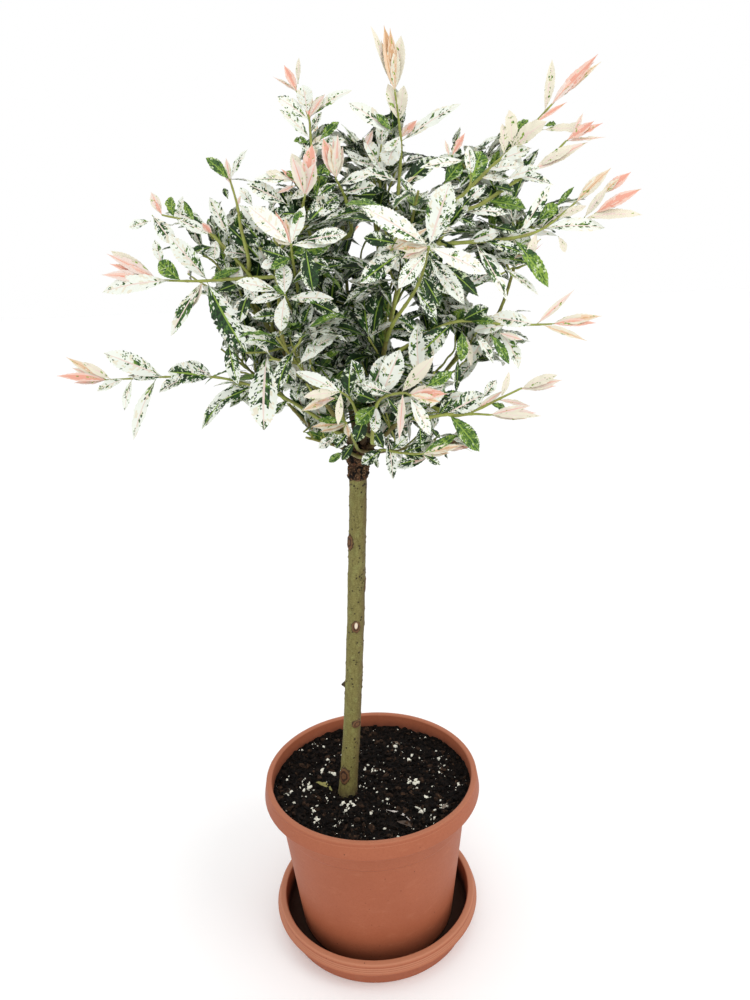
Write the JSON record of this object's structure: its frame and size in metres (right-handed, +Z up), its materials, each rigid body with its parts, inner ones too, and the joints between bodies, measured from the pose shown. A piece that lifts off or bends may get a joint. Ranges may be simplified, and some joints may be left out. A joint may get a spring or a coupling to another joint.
{
  "type": "potted japanese willow",
  "caption": "Dappled willow grafted as a small standard: a bare stem with a round open crown of speckled leaves and pink shoot tips, in a round plastic pot on its saucer.",
  "frame": {"origin": "centre of the saucer's flat underside, on the surface it stands on", "axes": "+Z up; -Y is the front, the side that the picture shows; +X is to the right from the front"},
  "size_m": [0.5681, 0.419, 0.9873],
  "materials": {
    "terracotta_plastic": "matte",
    "potting_soil": "matte",
    "green_bark": "satin",
    "graft_bark": "matte",
    "dappled_leaves": "matte",
    "young_leaves": "matte"
  },
  "bodies": {
    "root": {"bough_back_left": "green_bark", "bough_back_low_left": "green_bark", "bough_back_low_right": "green_bark", "bough_back_mid": "green_bark", "bough_back_right": "green_bark", "bough_back_upper": "green_bark", "bough_front_low_left": "green_bark", "bough_front_low_right": "green_bark", "bough_front_right": "green_bark", "bough_left": "green_bark", "bough_lower_left": "green_bark", "bough_lower_right": "green_bark", "bough_skirt_left": "green_bark", "bough_skirt_right": "green_bark", "bough_top": "green_bark", "bough_upper_left": "green_bark", "foliage_back_left": "dappled_leaves", "foliage_back_low_left": "dappled_leaves", "foliage_back_low_right": "dappled_leaves", "foliage_back_mid": "dappled_leaves", "foliage_back_right": "dappled_leaves", "foliage_back_upper": "dappled_leaves", "foliage_front_left": "dappled_leaves", "foliage_front_low_left": "dappled_leaves", "foliage_front_low_right": "dappled_leaves", "foliage_front_right": "dappled_leaves", "foliage_left": "dappled_leaves", "foliage_lower_left": "dappled_leaves", "foliage_lower_right": "dappled_leaves", "foliage_right": "dappled_leaves", "foliage_skirt_left": "dappled_leaves", "foliage_skirt_right": "dappled_leaves", "foliage_top": "dappled_leaves", "foliage_upper_left": "dappled_leaves", "foliage_upper_right": "dappled_leaves", "graft_head": "graft_bark", "pot": "terracotta_plastic", "saucer": "terracotta_plastic", "shoot_back": "young_leaves", "shoot_back_left": "young_leaves", "shoot_back_low": "young_leaves", "shoot_back_right": "young_leaves", "shoot_back_top": "young_leaves", "shoot_far_left": "young_leaves", "shoot_far_right": "young_leaves", "shoot_foot_right": "young_leaves", "shoot_front": "young_leaves", "shoot_high_left": "young_leaves", "shoot_high_right": "young_leaves", "shoot_low_left": "young_leaves", "shoot_low_right": "young_leaves", "shoot_mid_right": "young_leaves", "shoot_top": "young_leaves", "shoot_top_left": "young_leaves", "shoot_twig_left": "young_leaves", "shoot_upper_right": "young_leaves", "soil": "potting_soil", "trunk": "green_bark"}
  },
  "joints": []
}
